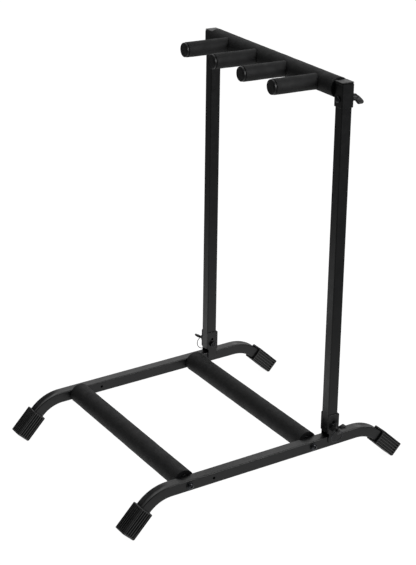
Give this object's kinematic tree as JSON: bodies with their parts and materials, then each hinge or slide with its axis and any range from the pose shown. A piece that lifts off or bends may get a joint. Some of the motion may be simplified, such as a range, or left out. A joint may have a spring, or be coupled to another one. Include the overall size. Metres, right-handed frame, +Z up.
{
  "type": "folding guitar rack",
  "caption": "Folding floor rack that stands guitars side by side: square-tube base with foam cross bars, two uprights and a foam-covered yoke with neck prongs.",
  "frame": {"origin": "on the floor, under the middle of the base", "axes": "+Z up, -Y towards the front where the guitars face and the neck prongs point, +X to the right as seen from the front"},
  "size_m": [0.4808, 0.572, 0.7206],
  "materials": {
    "painted_tube": "black powder coat on steel tube, satin with a fine texture",
    "padding_foam": "charcoal closed-cell foam sleeve, matt with a smooth skin",
    "foot_rubber": "black ribbed rubber, matt",
    "moulded_plastic": "black injection-moulded plastic, semi-matt",
    "black_zinc": "black zinc-plated steel fasteners, slightly glossy",
    "bright_zinc": "bright zinc-plated steel"
  },
  "bodies": {
    "base": {"left_side_rail": "painted_tube", "right_side_rail": "painted_tube", "front_left_foot_cap": "foot_rubber", "front_right_foot_cap": "foot_rubber", "rear_left_foot_cap": "foot_rubber", "rear_right_foot_cap": "foot_rubber", "front_bar_tube": "painted_tube", "front_bar_foam": "padding_foam", "front_bar_left_insert": "bright_zinc", "front_bar_left_bolt": "black_zinc", "front_bar_left_washer": "black_zinc", "front_bar_right_insert": "bright_zinc", "front_bar_right_bolt": "black_zinc", "front_bar_right_washer": "black_zinc", "rear_bar_tube": "painted_tube", "rear_bar_foam": "padding_foam", "rear_bar_left_insert": "bright_zinc", "rear_bar_left_bolt": "black_zinc", "rear_bar_left_washer": "black_zinc", "rear_bar_right_insert": "bright_zinc", "rear_bar_right_bolt": "black_zinc", "rear_bar_right_washer": "black_zinc", "left_hinge_bracket": "painted_tube", "right_hinge_bracket": "painted_tube", "left_hinge_washer": "black_zinc", "right_hinge_washer": "black_zinc", "left_hinge_nut": "black_zinc", "right_hinge_nut": "black_zinc"},
    "left_hinge_screw": {"left_hinge_wing_screw": "moulded_plastic", "left_hinge_ring": "black_zinc"},
    "right_hinge_screw": {"right_hinge_wing_screw": "moulded_plastic", "right_hinge_ring": "black_zinc"},
    "uprights": {"left_upright": "painted_tube", "right_upright": "painted_tube"},
    "yoke": {"left_yoke_sleeve": "painted_tube", "right_yoke_sleeve": "painted_tube", "left_yoke_sleeve_cap": "moulded_plastic", "right_yoke_sleeve_cap": "moulded_plastic", "left_clamp_bolt": "black_zinc", "right_clamp_bolt": "black_zinc", "yoke_rail_tube": "painted_tube", "yoke_rail_foam": "padding_foam", "prong_1_tube": "painted_tube", "prong_1_foam": "padding_foam", "prong_1_cap": "moulded_plastic", "prong_2_tube": "painted_tube", "prong_2_foam": "padding_foam", "prong_2_cap": "moulded_plastic", "prong_3_tube": "painted_tube", "prong_3_foam": "padding_foam", "prong_3_cap": "moulded_plastic", "prong_4_tube": "painted_tube", "prong_4_foam": "padding_foam", "prong_4_cap": "moulded_plastic"},
    "left_wing_nut": {"left_clamp_wing_nut": "moulded_plastic"},
    "right_wing_nut": {"right_clamp_wing_nut": "moulded_plastic"}
  },
  "joints": [
    {"name": "upright_fold", "type": "hinge", "parent": "base", "child": "uprights", "pos_m": [0, 0.13721, 0.09397], "axis": [1, 0, 0], "range_deg": [0, 90]},
    {"name": "yoke_lift", "type": "slide", "parent": "uprights", "child": "yoke", "axis": [0, 0.0447, 0.999], "range_m": [0, 0.038]},
    {"name": "left_hinge_screw_turn", "type": "hinge", "parent": "base", "child": "left_hinge_screw", "pos_m": [-0.208, 0.13721, 0.09397], "axis": [-1, 0, 0], "continuous": true},
    {"name": "right_hinge_screw_turn", "type": "hinge", "parent": "base", "child": "right_hinge_screw", "pos_m": [0.208, 0.13721, 0.09397], "axis": [1, 0, 0], "continuous": true},
    {"name": "left_wing_nut_turn", "type": "hinge", "parent": "yoke", "child": "left_wing_nut", "pos_m": [-0.208, 0.16372, 0.68688], "axis": [0, 0.999, -0.0447], "continuous": true},
    {"name": "right_wing_nut_turn", "type": "hinge", "parent": "yoke", "child": "right_wing_nut", "pos_m": [0.208, 0.16372, 0.68688], "axis": [0, 0.999, -0.0447], "continuous": true}
  ]
}
